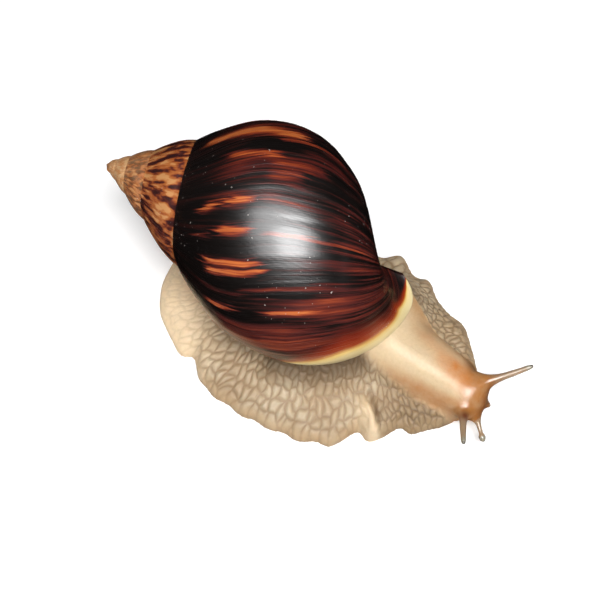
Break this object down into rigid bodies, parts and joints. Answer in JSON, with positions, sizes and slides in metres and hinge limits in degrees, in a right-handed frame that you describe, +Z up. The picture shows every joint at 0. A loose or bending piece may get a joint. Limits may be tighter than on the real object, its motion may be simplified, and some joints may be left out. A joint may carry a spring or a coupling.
{
  "type": "giant african land snail",
  "caption": "Giant African land snail as a still life-size museum model, crawling with its glossy dark streaked shell on its back and feelers out.",
  "frame": {"origin": "on the floor under the middle of the animal's bounding box, on the plane of the flat sole", "axes": "+X towards the head, +Y to the animal's left, +Z up out of the sole"},
  "size_m": [0.1646, 0.0924, 0.0744],
  "materials": {
    "shell": "glossy dark brown with orange and maroon streaks along the growth lines, cream lip, tan spire with dark flames",
    "collar": "moist, smooth",
    "skin": "moist skin with long pale tubercles between grey-brown grooves",
    "neck": "moist, smoother cream skin",
    "head": "wet, orange-brown",
    "feeler": "moist, grey-brown, fine-grained",
    "eye": "glossy dark bead"
  },
  "bodies": {
    "root": {"shell": "shell", "mantle_collar": "collar", "foot_tail": "skin", "foot_middle": "skin", "foot_front": "skin", "neck": "neck", "head": "head", "tentacle_upper_left_base": "feeler", "tentacle_upper_left_stalk": "feeler", "tentacle_upper_right_base": "feeler", "tentacle_upper_right_stalk": "feeler", "tentacle_lower_left": "feeler", "tentacle_lower_right": "feeler", "eye_left": "eye", "eye_right": "eye"}
  },
  "joints": []
}
